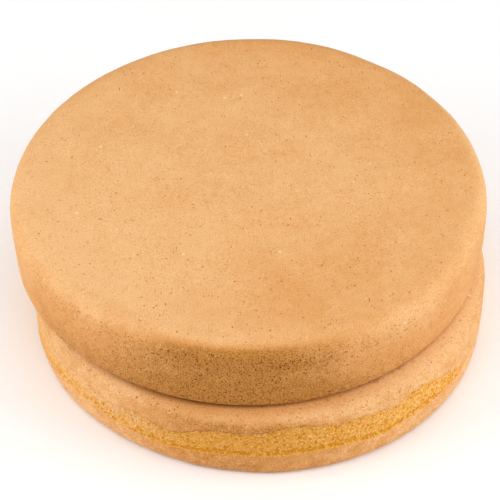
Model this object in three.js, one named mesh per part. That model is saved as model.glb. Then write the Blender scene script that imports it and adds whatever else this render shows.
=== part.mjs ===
// Two round pan-baked sponge layers, stacked plain with no filling, the upper one set a little back
// and to the left. Both have a soft shoulder round the top and a small round foot. The lower one has
// lost a band of its side crust, so that the open crumb shows between two torn edges of crust.
//
// Millimetres, +Z up. The front faces -Y. The origin is at the middle of the cake's footprint, on
// the plane that it stands on. Angles are in degrees, counted from +X towards +Y.

import * as THREE from "three";

// ---- driving dimensions -------------------------------------------------------------------------

const STEPS_AROUND = 96;
const RESTING_GAP = 0.3; // between the lower layer's top and the upper layer's underside
const STACK_SHIFT = { x: 4.7, y: -10 }; // the lower layer's axis, seen from the upper layer's

const FRONT = -90;
const FOOT_ROWS = 3;
const WALL_ROWS = 4;
const SHOULDER_ROWS = 6;
const TOP_RINGS = [0.75, 0.5, 0.25]; // shares of the flat top's radius

const UPPER = {
  name: "upper_layer",
  colour: 0xf1b575,
  radius: 115,
  height: 38.5,
  foot: 3.5,
  taper: 0.8,
  bulge: 0.9,
  shoulderWidth: 11.5,
  shoulderDrop: 9.5,
  sharperFront: 0.22, // share by which the shoulder is smaller at the front
  crown: 1,
  ripple: 0.35,
  lobes: [
    { count: 2, swell: 0.3, at: 80 },
    { count: 3, swell: 0.4, at: 64 },
    { count: 4, swell: 0.25, at: 8 },
  ],
};

const LOWER = {
  name: "lower_layer",
  colour: 0xeeb67a,
  radius: 111.6,
  height: 39.8,
  foot: 3.8,
  taper: 1.2,
  bulge: 0.6,
  shoulderWidth: 12,
  shoulderDrop: 8.5,
  sharperFront: 0,
  crown: 0,
  ripple: 0,
  lobes: [
    { count: 2, swell: 0.3, at: -40 },
    { count: 3, swell: 0.65, at: 64 },
  ],
};

// The top's waves: how long each is, and where it starts in its own turn, in radians.
const RIPPLES = {
  x: { length: 21, start: 0.7 },
  y: { length: 27, start: 1.17 },
  slanting: { length: 38, start: 0 },
};
const RIPPLE_FADE = 0.3; // share of the way in over which the waves grow to their full height

// The band where the crust came away. It starts at the right and runs round the front and the left.
// Each torn edge strays from its usual height at a few places, over the reach given to either side.
const TORN = {
  from: -28,
  length: 222,
  fade: 12, // degrees over which it closes at either end
  depth: 1.3,
  lip: 0.9, // height of the slanted step at either torn edge
  belly: 0.85, // the crumb swells out a little between the edges: its depth's share there
  low: {
    height: 14,
    strays: [
      { at: -28, reach: 12, rise: -4 },
      { at: -61, reach: 7, rise: -1.3 },
      { at: -74, reach: 12, rise: 0.8 },
      { at: -117, reach: 25, rise: -3 },
      { at: -178, reach: 48, rise: -9.5 },
    ],
  },
  high: {
    height: 30.8,
    strays: [
      { at: -28, reach: 22, rise: -12 },
      { at: -57, reach: 7, rise: -2.5 },
      { at: -80, reach: 11, rise: 2.5 },
      { at: -97, reach: 11, rise: -1.8 },
      { at: -113, reach: 13, rise: -8.5 },
      { at: -129, reach: 12, rise: -4.8 },
      { at: -150, reach: 40, rise: -4.5 },
      { at: -205, reach: 18, rise: -4 },
      { at: -250, reach: 30, rise: -9 },
    ],
  },
};

// ---- shape functions ----------------------------------------------------------------------------

const radians = THREE.MathUtils.degToRad;
const mix = THREE.MathUtils.lerp;
const ease = THREE.MathUtils.smoothstep;

// How far the outline stands out from a true circle at an angle.
function outlineSwell(layer, degrees) {
  return layer.lobes.reduce(
    (sum, lobe) => sum + lobe.swell * Math.cos(radians(lobe.count * (degrees - lobe.at))),
    0,
  );
}

// 1 at the very front, -1 at the very back.
function frontness(degrees) {
  return Math.cos(radians(degrees - FRONT));
}

// The wall's distance from the axis at a height, below the shoulder and above the foot.
function wallRadius(layer, degrees, height) {
  const share = height / layer.height;
  const rise = layer.bulge * Math.sin(Math.PI * share);
  return layer.radius + outlineSwell(layer, degrees) - layer.taper * (1 - share) + rise;
}

// The gentle unevenness of the baked top, nothing at the shoulder and the crown's height at the axis.
function topRelief(layer, x, y) {
  const inward = 1 - Math.min(1, Math.hypot(x, y) / (layer.radius - layer.shoulderWidth));
  const wave = ({ length, start }, along) => Math.sin(along / length + start);
  const waves = wave(RIPPLES.x, x) * wave(RIPPLES.y, y) + wave(RIPPLES.slanting, x + y);
  return layer.crown * ease(inward, 0, 1) + layer.ripple * waves * ease(inward, 0, RIPPLE_FADE);
}

// The elliptic shoulder's size at an angle, and the height at which it starts.
function shoulderAt(layer, degrees) {
  const size = 1 - layer.sharperFront * Math.max(0, frontness(degrees));
  const drop = layer.shoulderDrop * size;
  return { width: layer.shoulderWidth * size, drop, base: layer.height - drop };
}

// The side's distance from the axis at a height above the foot: the wall, then the shoulder.
function sideRadius(layer, degrees, height) {
  const { width, drop, base } = shoulderAt(layer, degrees);
  const climb = Math.min(1, Math.max(0, (height - base) / drop));
  return wallRadius(layer, degrees, Math.min(height, base)) - width * (1 - Math.sqrt(1 - climb ** 2));
}

// The shoulder's points above a height on the side, up to the flat top.
function shoulderPoints(layer, degrees, from) {
  const { drop, base } = shoulderAt(layer, degrees);
  const start = Math.asin(Math.max(0, (from - base) / drop));
  return Array.from({ length: SHOULDER_ROWS }, (_, row) => {
    const turn = mix(start, Math.PI / 2, (row + 1) / SHOULDER_ROWS);
    const height = Math.min(layer.height, base + drop * Math.sin(turn));
    return new THREE.Vector2(sideRadius(layer, degrees, height), height);
  });
}

// The small round between the underside and the wall.
function footPoints(layer, degrees) {
  const outer = wallRadius(layer, degrees, layer.foot);
  return Array.from({ length: FOOT_ROWS + 1 }, (_, row) => {
    const turn = (row / FOOT_ROWS) * (Math.PI / 2);
    return new THREE.Vector2(
      outer - layer.foot * (1 - Math.sin(turn)),
      layer.foot * (1 - Math.cos(turn)),
    );
  });
}

// A whole wall, from just above the foot to where the shoulder starts.
function plainWallPoints(layer, degrees) {
  const { base } = shoulderAt(layer, degrees);
  return Array.from({ length: WALL_ROWS }, (_, row) => {
    const height = mix(layer.foot, base, (row + 1) / WALL_ROWS);
    return new THREE.Vector2(sideRadius(layer, degrees, height), height);
  });
}

// How open the torn band is at an angle: 1 where the crust is gone, 0 where it is whole.
function tornOpen(degrees) {
  const along = THREE.MathUtils.euclideanModulo(TORN.from - degrees, 360);
  return ease(Math.min(along, TORN.length - along), 0, TORN.fade);
}

// The height of a torn edge at an angle.
function tornHeight(edge, degrees) {
  return edge.strays.reduce((height, { at, reach, rise }) => {
    const away = Math.abs(THREE.MathUtils.euclideanModulo(degrees - at + 180, 360) - 180);
    return height + rise * ease(reach - away, 0, reach);
  }, edge.height);
}

// A wall with the torn band: up, in over the low edge, up the crumb, and out under the high edge.
function tornWallPoints(layer, degrees) {
  const low = tornHeight(TORN.low, degrees);
  const high = tornHeight(TORN.high, degrees);
  const depth = TORN.depth * tornOpen(degrees);
  const at = (height, inset) =>
    new THREE.Vector2(sideRadius(layer, degrees, height) - inset, height);
  return [
    at(low, 0),
    at(low + TORN.lip, depth),
    at((low + high) / 2, depth * TORN.belly),
    at(high - TORN.lip, depth),
    at(high, 0),
  ];
}

// ---- pieces -------------------------------------------------------------------------------------

// A whole profile, from the axis at the underside to the axis at the top.
function layerProfile(layer, degrees, wallPoints) {
  const wall = wallPoints(layer, degrees);
  const shoulder = shoulderPoints(layer, degrees, wall[wall.length - 1].y);
  const flat = shoulder[shoulder.length - 1].x;
  return [
    new THREE.Vector2(0, 0),
    ...footPoints(layer, degrees),
    ...wall,
    ...shoulder,
    ...TOP_RINGS.map((share) => new THREE.Vector2(flat * share, layer.height)),
    new THREE.Vector2(0, layer.height),
  ];
}

// Turns the profile round the axis, and lets it change with the angle.
function makeLayer(layer, wallPoints) {
  const rows = layerProfile(layer, 0, wallPoints).length;
  const geometry = new THREE.LatheGeometry(layerProfile(layer, 0, wallPoints), STEPS_AROUND);
  const position = geometry.getAttribute("position");
  for (let step = 0; step <= STEPS_AROUND; step++) {
    const degrees = ((step % STEPS_AROUND) * 360) / STEPS_AROUND;
    layerProfile(layer, degrees, wallPoints).forEach((point, row) => {
      const x = point.x * Math.cos(radians(degrees));
      const y = point.x * Math.sin(radians(degrees));
      const lift = point.y > layer.height / 2 ? topRelief(layer, x, y) : 0;
      position.setXYZ(step * rows + row, x, y, point.y + lift);
    });
  }
  geometry.deleteAttribute("normal");
  geometry.computeVertexNormals();
  const material = new THREE.MeshStandardMaterial({
    color: layer.colour,
    roughness: 0.85,
    metalness: 0,
  });
  const mesh = new THREE.Mesh(geometry, material);
  mesh.name = layer.name;
  return mesh;
}

function makeLowerLayer() {
  const mesh = makeLayer(LOWER, tornWallPoints);
  mesh.position.set(STACK_SHIFT.x, STACK_SHIFT.y, 0);
  return mesh;
}

function makeUpperLayer() {
  const mesh = makeLayer(UPPER, plainWallPoints);
  mesh.position.z = LOWER.height + RESTING_GAP;
  return mesh;
}

const cake = new THREE.Group();
cake.add(makeLowerLayer(), makeUpperLayer());

// Bring the middle of the footprint to the origin.
const footprint = new THREE.Box3().setFromObject(cake).getCenter(new THREE.Vector3());
cake.position.set(-footprint.x, -footprint.y, 0);

export default cake;
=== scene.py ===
"""Plain layer cake: two round sponge layers, stacked without filling or icing.

The frame brings each layer as a plain solid. The operators here give it its baked look: an upper
sponge whose crust is browner round the side and full of pores, a lower crust with a torn band, the
open crumb in that band, and the crumbs that cling to it. Lengths are in metres, +Z is up, and the
front of the cake faces -Y. Angles run from +X towards +Y.
"""

import math
import random

import bmesh
import bpy
import numpy as np
from bpy.props import FloatProperty, FloatVectorProperty, IntProperty, PointerProperty
from mathutils import Euler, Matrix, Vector, noise


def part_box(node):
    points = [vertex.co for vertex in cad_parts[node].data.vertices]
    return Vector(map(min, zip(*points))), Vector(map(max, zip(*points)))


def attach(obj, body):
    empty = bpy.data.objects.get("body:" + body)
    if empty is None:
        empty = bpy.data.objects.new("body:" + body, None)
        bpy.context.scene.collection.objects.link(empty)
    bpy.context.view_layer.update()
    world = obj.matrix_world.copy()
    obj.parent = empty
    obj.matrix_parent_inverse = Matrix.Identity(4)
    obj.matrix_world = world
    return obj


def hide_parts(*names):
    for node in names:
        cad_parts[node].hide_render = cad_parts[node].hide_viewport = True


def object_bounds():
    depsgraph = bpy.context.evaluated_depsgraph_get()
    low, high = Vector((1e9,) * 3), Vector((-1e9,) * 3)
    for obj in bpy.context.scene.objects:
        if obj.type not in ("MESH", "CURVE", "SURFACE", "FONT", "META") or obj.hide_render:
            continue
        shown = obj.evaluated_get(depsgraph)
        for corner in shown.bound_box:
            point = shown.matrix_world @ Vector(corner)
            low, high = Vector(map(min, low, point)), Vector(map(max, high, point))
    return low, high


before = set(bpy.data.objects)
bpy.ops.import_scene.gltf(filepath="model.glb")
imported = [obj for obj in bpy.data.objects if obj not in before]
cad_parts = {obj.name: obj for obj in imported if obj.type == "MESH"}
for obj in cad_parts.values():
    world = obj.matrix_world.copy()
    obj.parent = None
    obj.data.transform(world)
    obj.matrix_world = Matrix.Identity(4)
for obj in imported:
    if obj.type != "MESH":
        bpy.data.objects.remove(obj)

bl_info = {
    "name": "Plain Layer Cake",
    "version": (1, 0, 0),
    "blender": (4, 5, 0),
    "location": "View3D > Sidebar > Layer Cake",
    "description": "Builds the crust, crumb and studio stage of a plain two-layer sponge cake",
    "category": "Add Mesh",
}

CAD_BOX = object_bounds()
MM = 0.001


# ---- settings -----------------------------------------------------------------------------------


def length(name, description, millimetres):
    """A length property, given in millimetres and kept in metres."""
    return FloatProperty(
        name=name, description=description, default=millimetres * MM, min=0, unit="LENGTH", precision=5
    )


def share(name, description, value):
    """A property that runs from 0 to 1."""
    return FloatProperty(name=name, description=description, default=value, min=0, max=1, subtype="FACTOR")


def count(name, description, number):
    """A property that counts things."""
    return IntProperty(name=name, description=description, default=number)


def colour(name, description, red, green, blue):
    """A colour property, given as screen values from 0 to 255 and kept as linear light."""
    return FloatVectorProperty(
        name=name,
        description=description,
        default=tuple(linear(channel / 255) for channel in (red, green, blue)),
        size=3,
        min=0,
        max=1,
        subtype="COLOR",
    )


def linear(channel):
    """Linear light of one screen channel."""
    return channel / 12.92 if channel <= 0.04045 else ((channel + 0.055) / 1.055) ** 2.4


class CakeSizes(bpy.types.PropertyGroup):
    """Sizes of the crust, its pores and the crumb."""

    upper_foot: length("Upper foot", "Radius of the round where the upper side meets its underside", 3.5)
    upper_shoulder_width: length("Upper shoulder width", "How far in the upper shoulder reaches", 11.5)
    upper_shoulder_drop: length("Upper shoulder drop", "How far down the upper shoulder reaches", 9.5)
    upper_sharper_front: share("Sharper front", "How much smaller the upper shoulder is in front", 0.22)
    upper_crown: length("Upper crown", "Height kept above the shoulder for the top's rise", 1.47)
    lower_foot: length("Lower foot", "Radius of the round where the lower side meets its underside", 3.8)
    lower_shoulder_width: length("Lower shoulder width", "How far in the lower shoulder reaches", 12)
    lower_shoulder_drop: length("Lower shoulder drop", "How far down the lower shoulder reaches", 8.5)
    waist: length("Waist", "How far the side draws in towards the foot", 1.2)
    crust: length("Crust thickness", "How far the crumb lies below the crust's surface", 0.9)
    recess: length("Recess", "Depth behind the torn band, where the crumb is bedded", 2.6)
    curl: length("Curl", "How far a torn edge of the crust lifts off", 0.3)
    crumb_relief: length("Crumb relief", "Depth of the open cells in the crumb", 0.5)
    clinging_crumb: length("Clinging crumb", "Usual size of a loose crumb", 0.9)


class CakeCounts(bpy.types.PropertyGroup):
    """How finely the pieces are made, and how many pores and crumbs they have."""

    upper_columns: count("Upper columns", "Faces round the upper layer", 800)
    lower_columns: count("Lower columns", "Faces round the lower layer", 960)
    crumb_columns: count("Crumb columns", "Faces along the crumb", 1040)
    crumb_rows: count("Crumb rows", "Faces up the crumb", 42)
    top_pores: count("Top pores", "Pores in the upper layer's top", 640)
    side_pores: count("Side pores", "Pores in the upper layer's side", 2000)
    lower_pores: count("Lower pores", "Pores in the lower layer's crust", 1300)
    clinging_crumbs: count("Clinging crumbs", "Loose crumbs", 420)


class CakeColours(bpy.types.PropertyGroup):
    """Colours of the crust, the crumb, the painted shade where the layers touch, and the stage."""

    pale_crust: colour("Pale crust", "Crust of the tops", 234, 181, 123)
    golden_crust: colour("Golden crust", "Crust that baked a little longer", 218, 155, 90)
    brown_crust: colour("Brown crust", "Crust that lay against the pan", 182, 120, 50)
    pore: colour("Pore", "Inside of a pore in pale crust", 194, 110, 42)
    brown_pore: colour("Brown pore", "Inside of a pore in brown crust", 116, 70, 22)
    # This colour is painted shade: the crust is darkened to it where the layers touch and under a lifted torn
    # edge.
    crevice_shade: colour("Crevice", "Crust close to where the layers touch", 158, 102, 44)
    fleck: colour("Fleck", "Pale flecks on the top", 250, 214, 160)
    crumb: colour("Crumb", "Open crumb", 236, 168, 66)
    crumb_light: colour("Light crumb", "Raised bits of the crumb", 242, 192, 122)
    crumb_deep: colour("Deep crumb", "Cells of the crumb", 222, 147, 22)
    floor: colour("Floor", "Floor that the cake stands on", 253, 253, 253)


# ---- the layers as the frame gives them ---------------------------------------------------------

OUTLINE_SPOKES = 96
OUTLINE_WAVES = 5  # a mean radius, and waves with up to four crests round the outline
WIDEST = 0.7  # share of a layer's height from which up its side draws in no further
LEVEL_TOLERANCE = 0.01 * MM
FRONT = math.radians(-90)


def outline_terms(angles):
    """The waves that a plan outline is made of, at each angle."""
    angles = np.asarray(angles)[..., None]
    crests = np.arange(OUTLINE_WAVES)
    return np.concatenate([np.cos(crests * angles), np.sin(crests * angles)], axis=-1)


class Layer:
    """One sponge layer: its place and plan outline come from its CAD node, its rounds from the sizes."""

    def __init__(self, node, foot, shoulder_width, shoulder_drop, sharper_front, crown, waist):
        low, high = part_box(node)
        self.bottom = low.z
        self.top = high.z
        self.foot = foot
        self.shoulder_width = shoulder_width
        self.shoulder_drop = shoulder_drop
        self.sharper_front = sharper_front
        self.crown = crown
        self.waist = waist
        corners = np.array([vertex.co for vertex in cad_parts[node].data.vertices])
        corners = np.unique(corners.round(6), axis=0)
        underside = corners[corners[:, 2] < self.bottom + LEVEL_TOLERANCE]
        self.axis = underside[:, :2].mean(axis=0)
        offset = corners[:, :2] - self.axis
        turns = np.arctan2(offset[:, 1], offset[:, 0]) / math.tau
        spoke = np.round(turns * OUTLINE_SPOKES).astype(int) % OUTLINE_SPOKES
        reach = np.zeros(OUTLINE_SPOKES)
        np.maximum.at(reach, spoke, np.hypot(offset[:, 0], offset[:, 1]))
        angles = np.arange(OUTLINE_SPOKES) * math.tau / OUTLINE_SPOKES
        self.waves = np.linalg.lstsq(outline_terms(angles), reach, rcond=None)[0]

    def flat(self):
        """Height of the top where it meets the shoulder."""
        return self.top - self.crown

    def shoulder(self, angles):
        """Width and drop of the shoulder at each angle."""
        size = 1 - self.sharper_front * np.maximum(0, np.cos(angles - FRONT))
        return self.shoulder_width * size, self.shoulder_drop * size

    def radius(self, angles, heights):
        """Distance of the side from the axis, at each angle and height."""
        width, drop = self.shoulder(angles)
        climb = np.clip((heights - self.flat() + drop) / drop, 0, 1)
        dip = np.clip((self.bottom + self.foot - heights) / self.foot, 0, 1)
        level = (heights - self.bottom) / (self.flat() - self.bottom)
        pull = self.waist * np.clip(1 - level / WIDEST, 0, 1) ** 2
        rounds = width * (1 - np.sqrt(1 - climb**2)) + self.foot * (1 - np.sqrt(1 - dip**2))
        return outline_terms(angles) @ self.waves - pull - rounds

    def place(self, angles, radii, heights):
        """Points at angles and distances from the axis."""
        x = self.axis[0] + radii * np.cos(angles)
        y = self.axis[1] + radii * np.sin(angles)
        return np.stack([x, y, np.broadcast_to(heights, x.shape)], axis=-1)

    def polar(self, points):
        """Angle and distance from the axis of each point."""
        offset = points[:, :2] - self.axis
        return np.arctan2(offset[:, 1], offset[:, 0]), np.hypot(offset[:, 0], offset[:, 1])


def upper_layer(sizes):
    """The upper sponge layer."""
    return Layer(
        "upper_layer",
        foot=sizes.upper_foot,
        shoulder_width=sizes.upper_shoulder_width,
        shoulder_drop=sizes.upper_shoulder_drop,
        sharper_front=sizes.upper_sharper_front,
        crown=sizes.upper_crown,
        waist=sizes.waist,
    )


def lower_layer(sizes):
    """The lower sponge layer."""
    return Layer(
        "lower_layer",
        foot=sizes.lower_foot,
        shoulder_width=sizes.lower_shoulder_width,
        shoulder_drop=sizes.lower_shoulder_drop,
        sharper_front=0,
        crown=0,
        waist=sizes.waist,
    )


# ---- the torn band ------------------------------------------------------------------------------

BAND_START = -28  # degrees: the right-hand end, from which the band runs round the front
BAND_LENGTH = 222
BAND_FADE = 9  # degrees over which its edges come together at an end
BAND_OPENING = 3  # degrees over which the crust opens up at an end
NARROWEST = 0.002  # share of their distance that the edges keep at an end
# Each edge has a usual height, and places where it strays from it: (degrees, reach, rise in mm)
LOW_EDGE = 14
LOW_FRAY = 0.55  # how ragged the edge is, in mm
LOW_STRAYS = [(-28, 12, -4), (-61, 7, -1.3), (-74, 12, 0.8), (-117, 25, -3), (-178, 48, -9.5)]
HIGH_EDGE = 30.8
HIGH_FRAY = 0.8
LOW_FRAY_START = 11.0  # where each edge's raggedness starts, so that the two differ
HIGH_FRAY_START = 47.0
HIGH_STRAYS = [
    (-28, 22, -12),
    (-48.5, 1.3, 1.7),
    (-51.5, 1.0, 1.2),
    (-57, 7, -2.5),
    (-80, 11, 2.5),
    (-97, 11, -1.8),
    (-113, 13, -8.5),
    (-129, 12, -4.8),
    (-150, 40, -4.5),
    (-205, 18, -4),
    (-250, 30, -9),
]


def ease(value):
    """A smooth step from 0 to 1."""
    value = np.clip(value, 0, 1)
    return value * value * (3 - 2 * value)


def strayed(usual, strays, degrees):
    """An edge's height in metres at each angle."""
    height = np.full_like(degrees, usual, dtype=float)
    for at, reach, rise in strays:
        away = np.abs((degrees - at + 180) % 360 - 180)
        height += rise * ease(1 - away / reach)
    return height * MM


def band_depth_in(degrees):
    """How many degrees an angle lies inside the torn band. It is negative outside."""
    along = (BAND_START - degrees) % 360
    along = np.where(along > (360 + BAND_LENGTH) / 2, along - 360, along)
    return np.minimum(along, BAND_LENGTH - along)


def band_open(angles):
    """1 where the crust is gone, falling to 0 at the band's ends and where the crust is whole."""
    return ease(band_depth_in(np.degrees(angles)) / BAND_OPENING)


def torn_edges(angles):
    """Heights of the two torn edges at each angle. They come together at the band's ends."""
    degrees = np.degrees(angles)
    low = strayed(LOW_EDGE, LOW_STRAYS, degrees)
    high = strayed(HIGH_EDGE, HIGH_STRAYS, degrees)
    middle = (low + high) / 2
    apart = np.sqrt(np.clip(np.abs(band_depth_in(degrees)) / BAND_FADE, NARROWEST, 1))
    frayed_low = fray(angles, LOW_FRAY_START) * LOW_FRAY * MM
    frayed_high = fray(angles, HIGH_FRAY_START) * HIGH_FRAY * MM
    low_edge = middle + (low - middle) * apart + frayed_low * apart
    return low_edge, middle + (high - middle) * apart + frayed_high * apart


def fray(angles, start):
    """Ragged ups and downs round the cake, about -1 to 1."""
    ring = np.stack([np.cos(angles), np.sin(angles), np.full_like(angles, start)], axis=-1)
    return bumps(ring, 0.09) + 0.6 * bumps(ring, 0.03) + 0.35 * bumps(ring, 0.012)


# ---- shape helpers ------------------------------------------------------------------------------


def bumps(points, size, shift=0.0):
    """Smooth noise from about -1 to 1 at each point, with bumps of about the given size."""
    away = Vector((shift, 2.7 * shift, -1.3 * shift))
    spots = (np.asarray(points) / size).tolist()
    return np.array([noise.noise(Vector(spot) + away) for spot in spots])


def cells(points, size):
    """Distance from each point to the nearest of scattered centres in units of size, and its chance."""
    found = [noise.voronoi(Vector(spot)) for spot in (np.asarray(points) / size).tolist()]
    distance = np.array([distances[0] for distances, centres in found])
    return distance, np.array([noise.noise(centres[0] * 5.3) for distances, centres in found]) + 0.5


class Weave:
    """Points and quads, collected until they become one mesh."""

    def __init__(self):
        self.points = []
        self.quads = []
        self.triangles = []
        self.count = 0

    def add(self, points):
        """Adds an array of points, and returns their numbers in the same arrangement."""
        numbers = np.arange(points[..., 0].size).reshape(points.shape[:-1]) + self.count
        self.points.append(points.reshape(-1, 3))
        self.count += numbers.size
        return numbers

    def grid(self, numbers, closed):
        """Quads between neighbours of a grid of point numbers. Its columns close to a ring if asked."""
        right = np.roll(numbers, -1, axis=1)
        rows = np.stack([numbers[:-1], right[:-1], right[1:], numbers[1:]], axis=-1)
        self.quads.append((rows if closed else rows[:, :-1]).reshape(-1, 4))

    def fan(self, ring, centre, upwards):
        """Triangles from a ring of point numbers to one centre point."""
        following = np.roll(ring, -1)
        pair = (ring, following) if upwards else (following, ring)
        self.triangles.append(np.stack([*pair, np.full_like(ring, centre)], axis=-1))

    def arrays(self):
        """All points, quads and triangles as three arrays."""
        triangles = np.concatenate(self.triangles) if self.triangles else np.zeros((0, 3), int)
        return np.concatenate(self.points), np.concatenate(self.quads), triangles


NO_LENGTH = 1e-12  # what a direction of no length is divided by


def surface_normals(points, quads, triangles):
    """The surface's outward direction at each point."""
    normals = np.zeros_like(points)
    across = np.cross(points[quads[:, 2]] - points[quads[:, 0]], points[quads[:, 3]] - points[quads[:, 1]])
    for corner in range(4):
        np.add.at(normals, quads[:, corner], across)
    for corner in range(3):
        first, second, third = points[triangles[:, 0]], points[triangles[:, 1]], points[triangles[:, 2]]
        np.add.at(normals, triangles[:, corner], np.cross(second - first, third - first))
    return normals / np.maximum(np.linalg.norm(normals, axis=1, keepdims=True), NO_LENGTH)


PIT_RIM = 0.92  # share of its face that a pore opens at the widest
PIT_FLOOR = 0.62  # share of the opening that its floor has
PIT_RIM_SUNK = 0.35  # how sunk its rim counts, where its floor is 1
PIT_SMALLEST = 0.2  # least share of its face that a pore opens
PIT_UNEVEN = (0.75, 1.15)  # range of the openings at a pore's four corners
# Range of openings as shares of a face, and range of depths in millimetres
TOP_PORE = (0.35, 0.95), (0.45, 0.95)
SIDE_PORE = (0.25, 0.85), (0.4, 0.9)
LOWER_PORE = (0.3, 0.9), (0.3, 0.8)


def sink_pits(points, quads, chosen, openings, depths):
    """Turns each chosen quad into a pore with a rim, walls and a sunk floor.

    Returns the new points and quads, and how deep in a pore each point lies, from 0 to 1."""
    corners = points[quads[chosen]]
    middle = corners.mean(axis=1, keepdims=True)
    across = np.cross(corners[:, 2] - corners[:, 0], corners[:, 3] - corners[:, 1])
    outward = across / np.linalg.norm(across, axis=1, keepdims=True)
    opening = openings[:, :, None] * PIT_RIM
    rim = middle + (corners - middle) * opening
    floor = middle + (corners - middle) * opening * PIT_FLOOR - (outward * depths[:, None])[:, None, :]
    count = len(chosen)
    rim_numbers = len(points) + np.arange(4 * count).reshape(count, 4)
    floor_numbers = rim_numbers + 4 * count
    rings = [quads[chosen], rim_numbers, floor_numbers]
    kept = np.delete(quads, chosen, axis=0)
    made = [floor_numbers]
    for outer, inner in zip(rings, rings[1:]):
        for side in range(4):
            after = (side + 1) % 4
            made.append(np.stack([outer[:, side], outer[:, after], inner[:, after], inner[:, side]], axis=-1))
    sunk = np.concatenate([np.zeros(len(points)), np.full(4 * count, PIT_RIM_SUNK), np.ones(4 * count)])
    points = np.concatenate([points, rim.reshape(-1, 3), floor.reshape(-1, 3)])
    return points, np.concatenate([kept, *made]), sunk


def pick_pits(generator, weights, count, size_range, depth_range):
    """Chooses faces at random by weight, with an opening for each corner and a depth for each pore.

    Openings are shares of the face, and depths are given in millimetres."""
    chosen = generator.choice(len(weights), size=count, replace=False, p=weights / weights.sum())
    scale = generator.uniform(*size_range, size=(count, 1))
    openings = np.clip(scale * generator.uniform(*PIT_UNEVEN, size=(count, 4)), PIT_SMALLEST, 1)
    depths = generator.uniform(*depth_range, size=count) * scale[:, 0] * MM
    return chosen, openings, depths


def make_piece(name, points, quads, triangles, attributes, material):
    """A smooth-shaded mesh object with one float attribute for each name given."""
    mesh = bpy.data.meshes.new(name)
    mesh.from_pydata(points.tolist(), [], quads.tolist() + triangles.tolist())
    for attribute, values in attributes.items():
        layer = mesh.attributes.new(attribute, "FLOAT", "POINT")
        layer.data.foreach_set("value", values.astype(np.float32))
    mesh.polygons.foreach_set("use_smooth", np.ones(len(mesh.polygons), bool))
    mesh.materials.append(material)
    mesh.update()
    piece = bpy.data.objects.new(name, mesh)
    bpy.context.scene.collection.objects.link(piece)
    return piece


# ---- finishes -----------------------------------------------------------------------------------


GRAIN_TINT = (0.18, 0.55, 1.0)  # how strongly the grain changes red, green and blue
SHEEN = 0.25  # how much a matt surface mirrors


class Finish:
    """A material whose nodes are added one at a time."""

    def __init__(self, name):
        self.material = bpy.data.materials.new(name)
        self.material.use_nodes = True
        self.tree = self.material.node_tree
        self.shader = self.tree.nodes["Principled BSDF"]
        self.place = self.add("ShaderNodeTexCoord").outputs["Object"]

    def add(self, kind, inputs=None, **settings):
        """Adds a node. An input's value is a number, a colour, or another node's output."""
        node = self.tree.nodes.new(kind)
        for name, value in settings.items():
            setattr(node, name, value)
        for key, value in (inputs or {}).items():
            self.feed(node.inputs[key], value)
        return node

    def feed(self, socket, value):
        """Links an output to a socket, or sets the socket's own value."""
        if isinstance(value, bpy.types.NodeSocket):
            self.tree.links.new(value, socket)
        elif socket.type == "RGBA":
            socket.default_value = (*value, 1)
        else:
            socket.default_value = value

    def attribute(self, name):
        """A float attribute of the mesh."""
        return self.add("ShaderNodeAttribute", attribute_name=name).outputs["Fac"]

    def noise(self, size, detail):
        """Cloudy noise from 0 to 1, with patches of about the given size."""
        inputs = {"Vector": self.place, "Scale": 1 / size, "Detail": detail}
        return self.add("ShaderNodeTexNoise", inputs).outputs["Fac"]

    def step(self, value, low, high, start=0.0, end=1.0):
        """Runs from start to end as the value goes from low to high."""
        inputs = {"Value": value, "From Min": low, "From Max": high, "To Min": start, "To Max": end}
        return self.add("ShaderNodeMapRange", inputs, interpolation_type="SMOOTHSTEP").outputs["Result"]

    def math(self, operation, first, second, limit=False):
        """One sum, product or other operation on two values."""
        node = self.add("ShaderNodeMath", {0: first, 1: second}, operation=operation, use_clamp=limit)
        return node.outputs[0]

    def spots(self, size, reach, choice, strength=1.0):
        """Round spots about scattered centres. They fade over the reach, and the choice leaves some out."""
        node = self.add("ShaderNodeTexVoronoi", {"Vector": self.place, "Scale": 1 / size})
        chance = self.add("ShaderNodeSeparateColor", {"Color": node.outputs["Color"]}).outputs["Red"]
        spot = self.step(node.outputs["Distance"], *reach, strength, 0)
        return self.math("MULTIPLY", spot, self.step(chance, *choice))

    def mix(self, factor, first, second):
        """A colour between two colours."""
        return self.add("ShaderNodeMix", {0: factor, 6: first, 7: second}, data_type="RGBA").outputs[2]

    def shade(self, colour, value):
        """A colour made lighter or darker by a factor."""
        return self.add("ShaderNodeVectorMath", {0: colour, "Scale": value}, operation="SCALE").outputs[0]

    def toast(self, colour, value):
        """A colour made paler or more deeply baked by a value around 0: blue changes most, red least."""
        tint = self.add("ShaderNodeVectorMath", {0: GRAIN_TINT, "Scale": value}, operation="SCALE").outputs[0]
        tint = self.add("ShaderNodeVectorMath", {0: tint, 1: (1, 1, 1)}, operation="ADD").outputs[0]
        return self.add("ShaderNodeVectorMath", {0: colour, 1: tint}, operation="MULTIPLY").outputs[0]

    def bump(self, height, depth, strength):
        """Gives the surface small relief of the given depth, without moving it."""
        inputs = {"Height": height, "Distance": depth, "Strength": strength}
        self.feed(self.shader.inputs["Normal"], self.add("ShaderNodeBump", inputs).outputs["Normal"])

    def finish(self, base, roughness):
        """Sets the colour and roughness of a matt surface."""
        self.feed(self.shader.inputs["Base Color"], base)
        self.feed(self.shader.inputs["Roughness"], roughness)
        self.shader.inputs["Specular IOR Level"].default_value = SHEEN
        return self.material


def crust_mottle(finish, coarse):
    """Unevenness of the browning: small mottles, stronger in coarse crust, and wide faint patches."""
    small = finish.step(finish.noise(4.5 * MM, detail=4), 0.3, 0.7, -0.1, 0.1)
    small = finish.math("MULTIPLY", small, finish.step(coarse, 0.65, 1.3, 0.4, 1.3))
    wide = finish.step(finish.noise(24 * MM, detail=3), 0.3, 0.7, -0.045, 0.045)
    return finish.math("ADD", small, wide)


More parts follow.
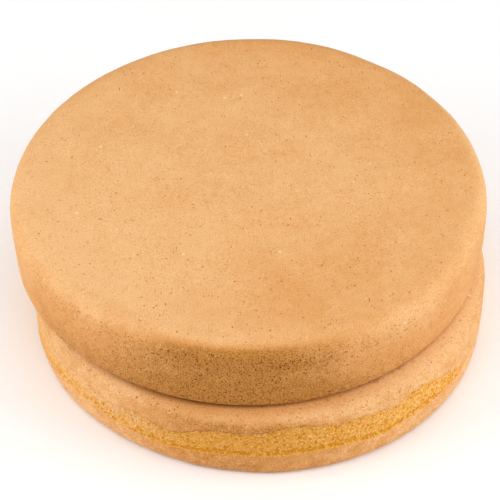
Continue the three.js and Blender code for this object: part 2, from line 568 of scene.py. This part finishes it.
def crust_base(finish, baked, colours):
    """The crust's colour without its pores: baked, torn bare, or darkened by painted shade where layers
    touch.
    """
    base = finish.mix(finish.step(baked, 0, 0.45), colours.pale_crust, colours.golden_crust)
    base = finish.mix(finish.step(baked, 0.35, 1), base, colours.brown_crust)
    base = finish.mix(finish.attribute("bare"), base, colours.crumb)
    # Painted shade where the layers touch and under a lifted torn edge.
    return finish.mix(finish.attribute("crevice_shade"), base, colours.crevice_shade)


def crust_finish(name, colours):
    """Baked crust: pale where it rose free, brown where it lay against the pan, with fine pores."""
    finish = Finish(name)
    browning = finish.attribute("browning")
    coarse = finish.attribute("coarse")
    grain = finish.noise(0.65 * MM, detail=3)
    baked = finish.math("ADD", browning, crust_mottle(finish, coarse), limit=True)
    base = crust_base(finish, baked, colours)
    pore = finish.mix(finish.step(baked, 0.4, 0.9), colours.pore, colours.brown_pore)
    pore = finish.mix(finish.attribute("thin"), pore, colours.crumb_deep)
    fine_pore = finish.spots(1.3 * MM, reach=(0.1, 0.36), choice=(0.3, 0.9))
    base = finish.mix(finish.math("MULTIPLY", fine_pore, finish.step(coarse, 0, 1, 0.3, 0.6)), base, pore)
    fleck = finish.spots(9 * MM, reach=(0.04, 0.12), choice=(0.4, 0.6), strength=0.7)
    fleck = finish.math("MULTIPLY", fleck, finish.step(baked, 0.15, 0.35, 1, 0))
    base = finish.mix(fleck, base, colours.fleck)
    base = finish.mix(finish.math("MULTIPLY", finish.attribute("sunk"), 0.85), base, pore)
    swing = finish.math("MULTIPLY", finish.step(grain, 0.25, 0.75, -0.5, 0.5), coarse)
    base = finish.toast(base, swing)
    speckle = finish.math("MULTIPLY", swing, finish.step(browning, 0.4, 0.9, 0, 0.4))
    base = finish.shade(base, finish.math("ADD", speckle, 1.0))
    height = finish.math("SUBTRACT", finish.math("MULTIPLY", grain, coarse), fine_pore)
    finish.bump(height, 0.3 * MM, 0.45)
    return finish.finish(base, finish.step(grain, 0.2, 0.8, 0.72, 0.9))


def crumb_finish(name, colours):
    """Open sponge crumb: light ridges between deep golden cells, under remains of thin crust."""
    finish = Finish(name)
    sunk = finish.attribute("sunk")
    patches = finish.noise(5 * MM, detail=3)
    grain = finish.noise(0.8 * MM, detail=4)
    cell = finish.spots(1.3 * MM, reach=(0.12, 0.5), choice=(0.25, 0.6))
    crowded = finish.step(patches, 0.3, 0.65, 0.9, 0.3)
    deep = finish.math("ADD", sunk, finish.math("MULTIPLY", cell, crowded), limit=True)
    light = finish.math("MULTIPLY", finish.step(grain, 0.42, 0.62), finish.step(patches, 0.3, 0.7, 0.5, 1))
    base = finish.mix(light, colours.crumb, colours.crumb_light)
    base = finish.mix(deep, base, colours.crumb_deep)
    rich = finish.attribute("rich")
    base = finish.mix(finish.math("MULTIPLY", rich, 0.4), base, colours.crumb_deep)
    film = finish.math("MULTIPLY", finish.attribute("film"), finish.step(deep, 0.2, 0.8, 1, 0.2))
    base = finish.mix(film, base, colours.pale_crust)
    base = finish.toast(base, finish.step(grain, 0.25, 0.75, -0.45, 0.45))
    base = finish.shade(base, finish.step(rich, 0, 1, 1, 0.92))
    finish.bump(finish.math("SUBTRACT", grain, cell), 0.4 * MM, 0.8)
    return finish.finish(base, 0.88)


# ---- sponge shapes ------------------------------------------------------------------------------

FOOT_ROWS = 4
UPPER_WALL_ROWS = 25
UPPER_SHOULDER_ROWS = 14
STRIP_ROWS = 13
SKIRT_ROWS = 19
# Rings inside a flat face, as shares of its outline
UNDERSIDE_RINGS = (0.97, 0.9, 0.6)
COVERED_TOP_RINGS = (0.99, 0.98, 0.97, 0.95, 0.92, 0.85, 0.6)


def side_rows(layer, angles, heights):
    """The side's points, one row for each height. A height may be one number or one for each angle."""
    return np.stack([layer.place(angles, layer.radius(angles, height), height) for height in heights])


def foot_heights(layer):
    """Heights that follow the round foot in even steps, without its upper end."""
    turns = np.linspace(0, math.pi / 2, FOOT_ROWS + 1)[:-1]
    return [layer.bottom + layer.foot * (1 - math.cos(turn)) for turn in turns]


def close_flat(weave, layer, ring_points, ring, shares, upwards):
    """Closes a flat face inside a ring with a few smaller rings and a fan to the axis."""
    rings = [ring]
    centre = np.array([*layer.axis, ring_points[0, 2]])
    for share_out in shares:
        rings.append(weave.add(centre + (ring_points - centre) * share_out))
    middle = weave.add(centre[None])[0]
    numbers = np.stack(rings if upwards else rings[::-1])
    weave.grid(numbers, closed=True)
    weave.fan(rings[-1], middle, upwards)


def disc(weave, layer, ring):
    """Fills the flat top inside a ring with a square grid bent to a disc, so that its faces are even."""
    half = len(ring) // 8
    steps = np.arange(-half, half + 1) / half
    across, along = np.meshgrid(steps, steps)
    wide = np.abs(across) >= np.abs(along)
    reach = np.where(wide, across, along)
    lean = np.where(wide, along, across) / np.where(reach == 0, 1, reach) * math.pi / 4
    turn = np.where(wide, lean, math.pi / 2 - lean) + np.where(reach < 0, math.pi, 0)
    radius = np.abs(reach) * layer.radius(turn, np.full_like(turn, layer.flat()))
    edge = np.abs(reach) == 1
    numbers = np.empty(turn.shape, int)
    numbers[edge] = ring[np.round(turn[edge] / math.tau * len(ring)).astype(int) % len(ring)]
    numbers[~edge] = weave.add(layer.place(turn, radius, layer.flat())[~edge])
    weave.grid(numbers, closed=False)


def face_places(layer, points, quads):
    """Angle, distance from the axis and height of the middle of each quad."""
    middle = points[quads].mean(axis=1)
    angles, radii = layer.polar(middle)
    return angles, radii, middle[:, 2]


def near(degrees, middle, reach, level=0):
    """1 up to the level stretch on either side of an angle, falling smoothly to 0 at the reach."""
    away = np.abs((degrees - middle + 180) % 360 - 180)
    return ease((reach - away) / (reach - level))


TOP_DARKER = math.radians(60)  # the way in which the top grows a little browner
UPPER_SEED = 11
SLIDE_SEED = 3
SLIDE = 0.22 * MM  # how far points slide along the surface, so that the faces aren't all alike
# Bumps of baked sponge: their size in mm, their height in mm, and what sets each kind apart
UNEVENNESS = [(26, 0.4, 3.1), (8, 0.13, 7.7), (2.6, 0.07, 1.9)]
CROWN_RISE = 0.7  # share of the crown that is one smooth rise. The rest is room for the bumps


def upper_browning(layer, points):
    """How brown the upper layer's crust is: most round the front of its side, where the pan was hottest."""
    angles, radii = layer.polar(points)
    degrees = np.degrees(angles)
    width, drop = layer.shoulder(angles)
    below = np.clip((layer.flat() - points[:, 2]) / drop, 0, 1)
    low = ease((layer.flat() - points[:, 2]) / (layer.flat() - layer.bottom))
    outer = outline_terms(angles) @ layer.waves
    outward = radii / radii.max()
    side = ease(below / 0.42) * ease((radii - outer + width) / width * 2)
    front = 0.62 * near(degrees, -92, 42) + 0.55 * low * near(degrees, -95, 72, level=40)
    ends = 0.24 * ease(below) * near(degrees, -22, 24) + 0.3 * near(degrees, 95, 110)
    ends += 0.1 * near(degrees, -38, 30) + 0.14 * near(degrees, -158, 26)
    left = 0.26 * ease(below) * (1 - 0.5 * low) * near(degrees, -128, 35)
    rim = 0.31 * near(degrees, -88, 37) + 0.1 * near(degrees, -102, 16)
    rim = rim * ease(below / 0.4) * ease(1.3 - 2.6 * low)
    rubbed = 0.2 * near(degrees, -128, 26) * ease((radii - outer + 15 * MM) / (9 * MM)) * (1 - side)
    scorch = 0.1 * bumps(points, 18 * MM, 5.5) * side
    back_right = 0.2 * np.cos(angles - TOP_DARKER) * outward**2
    front_edge = 0.24 * near(degrees, -72, 66) * ease((outward - 0.2) / 0.6)
    front_edge = front_edge * (1 - 0.2 * outward**4)
    top = 0.16 + back_right + front_edge
    return np.clip(top * (1 - side) + side * (0.04 + front + ends) + left + rim + rubbed + scorch, 0, 1)


def make_upper_layer(sizes, counts, colours):
    """The upper sponge: one closed mesh, finely divided, with pores sunk into its top and its side."""
    generator = np.random.default_rng(UPPER_SEED)
    layer = upper_layer(sizes)
    angles = np.arange(counts.upper_columns) * math.tau / counts.upper_columns
    drop = layer.shoulder(angles)[1]
    wall_start, wall_end = layer.bottom + layer.foot, layer.flat() - drop
    heights = foot_heights(layer)
    steps = np.linspace(0, 1, UPPER_WALL_ROWS + 1)[:-1]
    heights += [wall_start + (wall_end - wall_start) * step for step in steps]
    turns = np.linspace(0, math.pi / 2, UPPER_SHOULDER_ROWS)
    heights += [wall_end + drop * math.sin(turn) for turn in turns]
    weave = Weave()
    rows = side_rows(layer, angles, heights)
    numbers = weave.add(rows)
    weave.grid(numbers, closed=True)
    disc(weave, layer, numbers[-1])
    close_flat(weave, layer, rows[0], numbers[0], UNDERSIDE_RINGS, upwards=False)
    points, quads, triangles = weave.arrays()
    points = roughen(layer, points, quads, triangles)
    points, quads, sunk = upper_pores(layer, points, quads, counts, generator)
    none = np.zeros(len(points))
    browning = upper_browning(layer, points)
    attributes = {
        "browning": browning,
        "coarse": 0.66 + (0.05 + 0.33 * browning) * ease((layer.flat() - points[:, 2]) / (5 * MM)),
        "sunk": sunk,
        # Painted shade at the foot, where this layer rests on the lower one.
        "crevice_shade": foot_crevice_shade(layer, points),
        "bare": none,
        "thin": none,
    }
    finish = crust_finish("upper_crust", colours)
    return make_piece("upper_sponge", points, quads, triangles, attributes, finish)


def foot_crevice_shade(layer, points):
    """Painted shade at the upper layer's foot where it rests on the lower one, 1 there and strongest in
    front.
    """
    degrees = np.degrees(layer.polar(points)[0])
    return (0.2 + 0.8 * near(degrees, -102, 40)) * ease((layer.bottom + 1.6 * MM - points[:, 2]) / (1.2 * MM))


def roughen(layer, points, quads, triangles):
    """Gives a layer the unevenness of baked sponge. The underside stays flat."""
    normals = surface_normals(points, quads, triangles)
    radii = layer.polar(points)[1]
    inward = 1 - radii / radii.max()
    free = ease((points[:, 2] - layer.bottom) / (1.5 * MM))
    crown = layer.crown * CROWN_RISE * ease(inward / 0.9) * (points[:, 2] > layer.flat() - 0.1 * MM)
    uneven = sum(bumps(points, size * MM, shift) * height for size, height, shift in UNEVENNESS)
    slide = np.random.default_rng(SLIDE_SEED).uniform(-1, 1, points.shape) * SLIDE
    slide -= normals * (slide * normals).sum(axis=1, keepdims=True)
    points = points + (normals * uneven[:, None] * MM + slide) * free[:, None]
    points[:, 2] += crown
    return points


def upper_pores(layer, points, quads, counts, generator):
    """Sinks the upper layer's pores: scattered ones in the top, crowded ones round the side."""
    angles, _, heights = face_places(layer, points, quads)
    degrees = np.degrees(angles)
    front = 0.15 + 0.85 * near(degrees, -105, 72)
    top = (heights > layer.flat() - 0.5 * MM).astype(float)
    side = (heights < layer.flat() - 4 * MM) * (heights > layer.bottom + 0.5 * MM) * 1.0
    under_shoulder = ease(1 - np.abs(heights - layer.flat() + 10 * MM) / (6 * MM))
    at_foot = ease(1 - np.abs(heights - layer.bottom - 3 * MM) / (4 * MM))
    clumps = 0.8 + 0.35 * bumps(points[quads].mean(axis=1), 7 * MM, 6.6)
    crowd = side * front * (0.5 + 0.6 * under_shoulder + 1.2 * at_foot) * clumps
    chosen = [
        pick_pits(generator, top, counts.top_pores, *TOP_PORE),
        pick_pits(generator, crowd, counts.side_pores, *SIDE_PORE),
    ]
    return sink_pits(points, quads, *(np.concatenate(kind) for kind in zip(*chosen)))


# ---- the lower layer ----------------------------------------------------------------------------


def lower_browning_and_shade(layer, points):
    """How brown the lower layer's crust is: a little below the shoulder in front, and at torn edges. Its top
    also gets the upper layer's shadow painted round its foot.
    """
    angles = layer.polar(points)[0]
    degrees = np.degrees(angles)
    below = layer.top - points[:, 2]
    front = 0.35 + 0.65 * near(degrees, -95, 80)
    low, high = torn_edges(angles)
    above = ease((points[:, 2] - (low + high) / 2) / (2 * MM))
    skirt = above * ease((below - 2 * MM) / (5 * MM)) * (0.15 + 0.6 * near(degrees, -97, 36))
    rim = 0.25 * near(degrees, -106, 26) * ease(1 - np.abs(below - 2.2 * MM) / (3 * MM))
    # Painted shadow of the upper layer on this layer's top round its foot, darkest in front and on the left.
    shelf_shade = 0.4 * near(degrees, -92, 62) + 0.16 * near(degrees, -150, 50, level=20)
    shelf_shade = ease(1 - below / (4 * MM)) * shelf_shade
    strip = (1 - above) * (0.05 + 0.42 * near(degrees, -102, 40) + 0.19 * near(degrees, -74, 52))
    at_edge = 0.35 * ease(1 - np.abs(points[:, 2] - high) / (1 * MM)) * (band_depth_in(degrees) > 0)
    blotch = 0.1 * bumps(points, 11 * MM, 8.4) * ease(below / (6 * MM))
    return np.clip(0.04 + skirt + rim + shelf_shade + strip + at_edge * front + blotch, 0, 1)


def lifted_edge_shade(layer, points):
    """A thin broken line of painted shade along the high torn edge in front, 1 where the crust has lifted
    off.
    """
    angles = layer.polar(points)[0]
    high = torn_edges(angles)[1]
    broken = ease(0.4 + 2.5 * bumps(points, 6 * MM, 4.7))
    stretch = near(np.degrees(angles), -98, 26, level=14)
    return broken * stretch * ease(1.4 - np.abs(points[:, 2] - high) / (0.5 * MM))


DENTS = [(-52.5, 1.6), (-59.5, 2.4)]  # dents beside the upper layer: degrees round the upper axis, reach
DENT_DEPTH = 0.4  # in mm
LOWER_SEED = 23
EDGE_MARGIN = 1.2 * MM  # how far from a torn edge the plain rows of the side end
LIP = 0.12 * MM  # height over which the surface turns in at a torn edge
BARE_ROWS = slice(2, 9)  # the torn rows that have no crust


def dents(degrees):
    """How deep the dents beside the upper layer are at an angle round the upper layer's axis."""
    return sum(near(degrees, at, reach) for at, reach in DENTS)


def crevice_at(sizes, points):
    """Painted shade on the lower layer's top under the upper layer, 1 there and falling to 0 just outside its
    foot. It also scales the dents.
    """
    upper = upper_layer(sizes)
    angles, radii = upper.polar(points)
    outline = upper.radius(angles, np.full_like(angles, upper.bottom + upper.foot))
    degrees = np.degrees(angles)
    dented = dents(degrees)
    reach = (0.9 * near(degrees, -102, 32) - 0.9 + 1.3 * dented) * MM
    strength = np.clip(0.1 + 0.9 * near(degrees, -102, 34) + 0.3 * dented, 0, 1)
    inside = ease((outline - radii + reach) / (2.4 * MM)) * (points[:, 2] > upper.bottom - 4 * MM)
    return strength * inside


def torn_rows(layer, sizes, angles):
    """The side's rows from the low torn edge to the high one: over the edge, in, up, and out again.

    Where the crust is whole, the rows are spread evenly."""
    low, high = torn_edges(angles)
    opened = band_open(angles)
    depth = sizes.recess * opened
    curl = sizes.curl * (0.6 + bumps(np.stack([angles, angles, angles], axis=-1), 0.15, 4.2))
    rows = [
        (low - EDGE_MARGIN, 0),
        (low - 0.4 * MM, -0.5 * curl * opened),
        (low, 0.15 * depth),
        (low + LIP, 0.6 * depth),
        (low + 2 * LIP, depth),
        ((low + high) / 2, depth),
        (high - 2 * LIP, depth),
        (high - LIP, 0.6 * depth),
        (high, -0.2 * curl * opened),
        (high + 0.35 * MM, -curl * opened),
        (high + EDGE_MARGIN, -0.3 * curl * opened),
    ]
    first, last = rows[0][0], rows[-1][0]
    placed = []
    for climb, (height, inset) in zip(np.linspace(0, 1, len(rows)), rows):
        even = first + (last - first) * climb
        height = even + (height - even) * opened
        placed.append(layer.place(angles, layer.radius(angles, height) - inset, height))
    return placed


def lower_side(layer, sizes, angles):
    """The lower layer's side, row by row from the foot to the flat top, and how bare each point is."""
    low, high = torn_edges(angles)
    strip_start = layer.bottom + layer.foot
    strip_end = low - EDGE_MARGIN
    skirt_start = high + EDGE_MARGIN
    steps = np.linspace(0, 1, STRIP_ROWS + 1)[:-1]
    strip = [strip_start + (strip_end - strip_start) * step for step in steps]
    climbs = [math.sin(step * math.pi / 2) for step in np.linspace(0, 1, SKIRT_ROWS + 1)[1:]]
    skirt = [skirt_start + (layer.flat() - skirt_start) * climb for climb in climbs]
    below = side_rows(layer, angles, foot_heights(layer) + strip)
    rows = np.stack([*below, *torn_rows(layer, sizes, angles), *side_rows(layer, angles, skirt)])
    bare = np.zeros(rows.shape[:2])
    bare[len(below) :][BARE_ROWS] = band_open(angles)
    return rows, bare.ravel()


def press_dents(layer, sizes, points):
    """Caps the bumps at the layer's full height, and presses the dents beside the upper layer into it."""
    dented = dents(np.degrees(upper_layer(sizes).polar(points)[0])) * crevice_at(sizes, points)
    dented = DENT_DEPTH * MM * dented * (points[:, 2] > layer.top - 4 * MM)
    points[:, 2] = np.minimum(points[:, 2], layer.top) - dented


def make_lower_crust(sizes, counts, colours):
    """The lower sponge in its crust, with the torn band as a recess that the crumb fills."""
    generator = np.random.default_rng(LOWER_SEED)
    layer = lower_layer(sizes)
    angles = np.arange(counts.lower_columns) * math.tau / counts.lower_columns
    rows, bare = lower_side(layer, sizes, angles)
    weave = Weave()
    numbers = weave.add(rows)
    weave.grid(numbers, closed=True)
    close_flat(weave, layer, rows[-1], numbers[-1], COVERED_TOP_RINGS, upwards=True)
    close_flat(weave, layer, rows[0], numbers[0], UNDERSIDE_RINGS, upwards=False)
    points, quads, triangles = weave.arrays()
    points = roughen(layer, points, quads, triangles)
    press_dents(layer, sizes, points)
    points, quads, sunk = lower_pores(layer, points, quads, counts, generator)
    low_strip = ease((16 * MM - points[:, 2]) / (3 * MM))
    attributes = {
        # The browning here also holds the upper layer's painted shadow round its foot.
        "browning": lower_browning_and_shade(layer, points),
        "coarse": 0.66 + 0.5 * ease((layer.top - 2 * MM - points[:, 2]) / (4 * MM)) + 0.14 * low_strip,
        "sunk": sunk,
        # Painted shade where the upper layer rests on this one, and under the lifted torn edge.
        "crevice_shade": np.clip(crevice_at(sizes, points) + 0.75 * lifted_edge_shade(layer, points), 0, 1),
        "bare": np.concatenate([bare, np.zeros(len(points) - len(bare))]),
        "thin": ease((layer.top - 5 * MM - points[:, 2]) / (2 * MM)),
    }
    finish = crust_finish("lower_crust", colours)
    return make_piece("lower_crust", points, quads, triangles, attributes, finish)


def lower_pores(layer, points, quads, counts, generator):
    """Sinks the lower layer's pores, away from the torn edges and the hidden top."""
    angles, radii, heights = face_places(layer, points, quads)
    low, high = torn_edges(angles)
    whole = (heights < low - 1.3 * MM) | (heights > high + 1.3 * MM)
    whole &= np.ptp(points[quads, 2], axis=1) < 1.6 * MM
    shown = (heights > layer.bottom + 0.5 * MM) & (radii > layer.waves[0] - 16 * MM)
    front = 0.3 + 0.7 * near(np.degrees(angles), -95, 90)
    at_foot = ease(1 - (heights - layer.bottom) / (7 * MM))
    crowd = whole * shown * front * (0.4 + 1.6 * at_foot)
    return sink_pits(points, quads, *pick_pits(generator, crowd, counts.lower_pores, *LOWER_PORE))


# ---- the crumb ----------------------------------------------------------------------------------


CRUMB_TUCK = 1.4 * MM  # how far the crumb runs in behind either torn edge
CRUMB_BACK = 3  # how thick the crumb's strip is, in mm
CRUMB_OVERRUN = 0.4  # degrees that the crumb runs on past either end of the band
LOOSE_CLEAR = 2  # degrees from the band's ends that loose crumbs keep
LOOSE_SEED = 5


def crumb_surface(layer, sizes, angles, shares):
    """The crumb's outer surface, for each share of the way from the low torn edge to the high one."""
    low, high = torn_edges(angles)
    heights = low - CRUMB_TUCK + (high - low + 2 * CRUMB_TUCK) * shares[:, None]
    radii = layer.radius(angles, heights) - sizes.crust * (0.2 + 0.7 * shares[:, None])
    return layer.place(np.broadcast_to(angles, radii.shape), radii, heights)


def make_crumb(sizes, counts, colours):
    """The open crumb between the torn edges: a strip with open cells, bedded in the recess."""
    layer = lower_layer(sizes)
    start = math.radians(BAND_START + CRUMB_OVERRUN)
    length_round = math.radians(BAND_LENGTH + 2 * CRUMB_OVERRUN)
    angles = start - np.linspace(0, length_round, counts.crumb_columns)
    angles = angles[::-1]
    shares = np.linspace(0, 1, counts.crumb_rows)
    front = crumb_surface(layer, sizes, angles, shares)
    flat = front.reshape(-1, 3)
    up = np.repeat(shares, len(angles))
    low_down = ease(1 - np.abs(up - 0.16) / 0.16)
    low_down *= 1 - 0.7 * near(np.degrees(np.tile(angles, len(shares))), -150, 45, level=20)
    distance, chance = cells(flat, 1.9 * MM)
    big = ease((0.5 + 0.2 * low_down - distance) / 0.25) * ease((chance + 0.55 * low_down - 0.5) / 0.15)
    distance, chance = cells(flat, 1.1 * MM)
    small = ease((0.5 - distance) / 0.25) * ease((chance - 0.45) / 0.15)
    pit = np.clip(big + 0.6 * small, 0, 1)
    swell = bumps(flat, 9 * MM, 2.2) * 0.25 + bumps(flat, 3 * MM, 6.1) * 0.3 + bumps(flat, 1 * MM, 9.3) * 0.45
    relief = swell * 0.8 - pit
    outward = np.stack([np.cos(angles), np.sin(angles), np.zeros_like(angles)], axis=-1)
    outward = np.broadcast_to(outward, front.shape).reshape(-1, 3)
    moved = (flat + outward * (relief * sizes.crumb_relief)[:, None]).reshape(front.shape)
    back = front - outward.reshape(front.shape) * CRUMB_BACK * MM
    weave = Weave()
    shown = weave.add(moved)
    weave.grid(shown, closed=False)
    hidden = weave.add(back[[0, -1]])
    weave.grid(np.stack([hidden[0], shown[0]]), closed=False)
    weave.grid(np.stack([shown[-1], hidden[1]]), closed=False)
    weave.grid(np.stack([hidden[1], hidden[0]]), closed=False)
    points, quads, _ = weave.arrays()
    ends = end_caps(shown, hidden)
    sunk = np.zeros(len(points))
    sunk[: len(flat)] = pit
    film = np.zeros(len(points))
    film[: len(flat)] = crust_film(flat, np.degrees(np.tile(angles, len(shares))), up)
    degrees = np.degrees(layer.polar(points)[0])
    attributes = {"sunk": sunk, "film": film, "rich": near(degrees, -98, 50)}
    finish = crumb_finish("crumb", colours)
    return make_piece("lower_crumb", points, quads, np.array(ends), attributes, finish)


def end_caps(shown, hidden):
    """Triangles that close the two ends of the crumb's strip."""
    caps = []
    for column, flip in ((0, False), (-1, True)):
        edge = [hidden[0, column], *shown[:, column], hidden[1, column]]
        for first, second in zip(edge[1:], edge[2:]):
            triangle = (edge[0], second, first)
            caps.append(triangle[::-1] if flip else triangle)
    return caps


def crust_film(points, degrees, shares):
    """How much thin crust is left on the crumb: most on the left, under the high edge."""
    left = 1.2 * near(degrees, -152, 44, level=20) + near(degrees, 140, 60)
    high = 0.3 + 0.7 * ease((shares - 0.36) / 0.22)
    uneven = 0.85 + 0.7 * bumps(points, 4 * MM, 3.3)
    return np.clip(left * high * uneven + 0.3 * ease((shares - 0.8) / 0.15), 0, 1)


def make_clinging_crumbs(sizes, counts, colours):
    """Small loose crumbs that cling to the torn band and to the strip below it."""
    generator = random.Random(LOOSE_SEED)
    layer = lower_layer(sizes)
    weave = Weave()
    ball, ball_triangles = small_ball()
    triangles = []
    for _ in range(counts.clinging_crumbs):
        along = generator.random() * (BAND_LENGTH - 2 * LOOSE_CLEAR)
        angle = math.radians(BAND_START - LOOSE_CLEAR - along)
        low, high = (edge[0] for edge in torn_edges(np.array([angle])))
        height = low + (high - low) * generator.random() ** 1.6 - 0.4 * MM
        size = sizes.clinging_crumb * generator.uniform(0.35, 0.75)
        radius = layer.radius(np.array([angle]), height)[0] - sizes.crust * generator.uniform(0.6, 1.1)
        middle = layer.place(np.array([angle]), np.array([radius]), height)[0]
        turn = np.array(Euler([generator.uniform(0, math.tau) for _ in range(3)]).to_matrix())
        stretch = np.array([generator.uniform(0.6, 1.2) for _ in range(3)])
        lumps = 1 + 0.35 * bumps(ball, 0.7, generator.uniform(0, 50))
        numbers = weave.add(middle + (ball * lumps[:, None] * stretch * size / 2) @ turn.T)
        triangles.append(numbers[ball_triangles])
    points = np.concatenate(weave.points)
    none = np.zeros(len(points))
    attributes = {"sunk": none, "film": none, "rich": none}
    finish = bpy.data.materials.get("crumb") or crumb_finish("crumb", colours)
    no_quads = np.zeros((0, 4), int)
    return make_piece("clinging_crumbs", points, no_quads, np.concatenate(triangles), attributes, finish)


def small_ball():
    """Points and triangles of a ball of radius 1, evenly divided."""
    mesh = bpy.data.meshes.new("ball")
    shape = bmesh.new()
    bmesh.ops.create_icosphere(shape, subdivisions=2, radius=1)
    shape.to_mesh(mesh)
    shape.free()
    points = np.array([vertex.co for vertex in mesh.vertices])
    triangles = np.array([face.vertices for face in mesh.polygons])
    bpy.data.meshes.remove(mesh)
    return points, triangles


# ---- the stage ----------------------------------------------------------------------------------

CAMERA_DISTANCE = 1.05
CAMERA_ELEVATION = math.radians(43.1)
CAMERA_FIELD = math.radians(13.465)
CAMERA_ROLL = math.radians(-0.57)
CAMERA_AIM = (0.0002, -0.0015, -0.0053)  # from the middle of the whole cake
CAMERA_PIVOT = (0.0033, 0.0398)  # y from that middle, and height, of the point that it stands off from
LAMPS = [
    # name, azimuth and elevation of the lamp in degrees, distance, side length, watts
    ("overhead_lamp", -90, 78, 1.3, 1.2, 6.8),
    ("left_lamp", 194, 22, 1.3, 0.8, 6.7),
    ("right_lamp", -14, 22, 1.3, 0.8, 7.2),
]
WORLD_LIGHT = 0.52
FLOOR_HALF = 3.0  # half the floor's length


def middle_of_cake():
    """The middle of the cake's box."""
    low, high = (Vector(corner) for corner in CAD_BOX)
    return (low + high) / 2


def polar_offset(azimuth, elevation, distance):
    """A vector of the given length towards an azimuth and an elevation, in radians."""
    level = distance * math.cos(elevation)
    return Vector((level * math.cos(azimuth), level * math.sin(azimuth), distance * math.sin(elevation)))


def make_floor(colours):
    """A plain pale floor."""
    mesh = bpy.data.meshes.new("floor")
    sides = [(-1, -1), (1, -1), (1, 1), (-1, 1)]
    corners = [(x * FLOOR_HALF, y * FLOOR_HALF, 0) for x, y in sides]
    mesh.from_pydata(corners, [], [(0, 1, 2, 3)])
    finish = Finish("floor")
    mesh.materials.append(finish.finish(tuple(colours.floor), 0.9))
    floor = bpy.data.objects.new("floor", mesh)
    bpy.context.scene.collection.objects.link(floor)


def make_lamp(name, azimuth, elevation, distance, side, power):
    """A square soft lamp that looks at the cake."""
    light = bpy.data.lights.new(name, "AREA")
    light.size = side
    light.energy = power
    lamp = bpy.data.objects.new(name, light)
    offset = polar_offset(math.radians(azimuth), math.radians(elevation), distance)
    lamp.location = middle_of_cake() + offset
    lamp.rotation_euler = (-offset).to_track_quat("-Z", "Y").to_euler()
    bpy.context.scene.collection.objects.link(lamp)


def make_camera():
    """The camera in front of the cake, looking down on it."""
    camera = bpy.data.objects.new("camera", bpy.data.cameras.new("camera"))
    camera.data.angle = CAMERA_FIELD
    middle = middle_of_cake()
    forward = polar_offset(math.pi / 2, -CAMERA_ELEVATION, 1)
    pivot = Vector((CAMERA_AIM[0], CAMERA_PIVOT[0], CAMERA_PIVOT[1] - middle.z))
    stand = pivot - forward * CAMERA_DISTANCE
    camera.location = middle + stand
    look = Vector(CAMERA_AIM) - stand
    turn = look.to_track_quat("-Z", "Y").to_matrix().to_4x4()
    camera.rotation_euler = (turn @ Euler((0, 0, CAMERA_ROLL)).to_matrix().to_4x4()).to_euler()
    bpy.context.scene.collection.objects.link(camera)
    bpy.context.scene.camera = camera


def make_world():
    """Even, soft light from all round, and plain colour management."""
    scene = bpy.context.scene
    scene.world = bpy.data.worlds.new("studio")
    scene.world.use_nodes = True
    background = scene.world.node_tree.nodes["Background"]
    background.inputs["Color"].default_value = (1, 1, 1, 1)
    background.inputs["Strength"].default_value = WORLD_LIGHT
    scene.view_settings.view_transform = "Standard"


# ---- the add-on ---------------------------------------------------------------------------------


class LAYERCAKE_OT_stage(bpy.types.Operator):
    """Lay the floor, hang the lamps and set up the camera"""

    bl_idname = "layer_cake.stage"
    bl_label = "Stage"

    def execute(self, context):
        make_world()
        make_floor(context.scene.cake_colours)
        for lamp in LAMPS:
            make_lamp(*lamp)
        make_camera()
        return {"FINISHED"}


class LAYERCAKE_OT_upper_layer(bpy.types.Operator):
    """Bake the upper sponge layer with its porous, browned crust"""

    bl_idname = "layer_cake.upper_layer"
    bl_label = "Upper Layer"

    def execute(self, context):
        scene = context.scene
        piece = make_upper_layer(scene.cake_sizes, scene.cake_counts, scene.cake_colours)
        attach(piece, "root")
        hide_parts("upper_layer")
        return {"FINISHED"}


class LAYERCAKE_OT_lower_crust(bpy.types.Operator):
    """Bake the lower sponge layer in its crust, with the band torn away"""

    bl_idname = "layer_cake.lower_crust"
    bl_label = "Lower Crust"

    def execute(self, context):
        scene = context.scene
        piece = make_lower_crust(scene.cake_sizes, scene.cake_counts, scene.cake_colours)
        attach(piece, "root")
        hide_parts("lower_layer")
        return {"FINISHED"}


class LAYERCAKE_OT_crumb(bpy.types.Operator):
    """Open up the crumb in the torn band, with the loose crumbs that cling to it"""

    bl_idname = "layer_cake.crumb"
    bl_label = "Crumb"

    def execute(self, context):
        scene = context.scene
        for make in (make_crumb, make_clinging_crumbs):
            piece = make(scene.cake_sizes, scene.cake_counts, scene.cake_colours)
            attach(piece, "root")
        return {"FINISHED"}


OPERATORS = (LAYERCAKE_OT_stage, LAYERCAKE_OT_upper_layer, LAYERCAKE_OT_lower_crust, LAYERCAKE_OT_crumb)


class LAYERCAKE_PT_panel(bpy.types.Panel):
    """Lists the cake's pieces in the 3D view's sidebar"""

    bl_idname = "LAYERCAKE_PT_panel"
    bl_label = "Layer Cake"
    bl_space_type = "VIEW_3D"
    bl_region_type = "UI"
    bl_category = "Layer Cake"

    def draw(self, context):
        for operator in OPERATORS:
            self.layout.operator(operator.bl_idname)
        for group in (context.scene.cake_sizes, context.scene.cake_counts, context.scene.cake_colours):
            column = self.layout.column()
            for name in group.bl_rna.properties.keys():
                if name not in ("rna_type", "name"):
                    column.prop(group, name)


GROUPS = {"cake_sizes": CakeSizes, "cake_counts": CakeCounts, "cake_colours": CakeColours}
CLASSES = (*GROUPS.values(), *OPERATORS, LAYERCAKE_PT_panel)


def register():
    for kind in CLASSES:
        bpy.utils.register_class(kind)
    for name, kind in GROUPS.items():
        setattr(bpy.types.Scene, name, PointerProperty(type=kind))


def unregister():
    for name in GROUPS:
        delattr(bpy.types.Scene, name)
    for kind in reversed(CLASSES):
        bpy.utils.unregister_class(kind)


def main():
    register()
    bpy.ops.layer_cake.stage()
    bpy.ops.layer_cake.upper_layer()
    bpy.ops.layer_cake.lower_crust()
    bpy.ops.layer_cake.crumb()


if __name__ == "__main__":
    main()
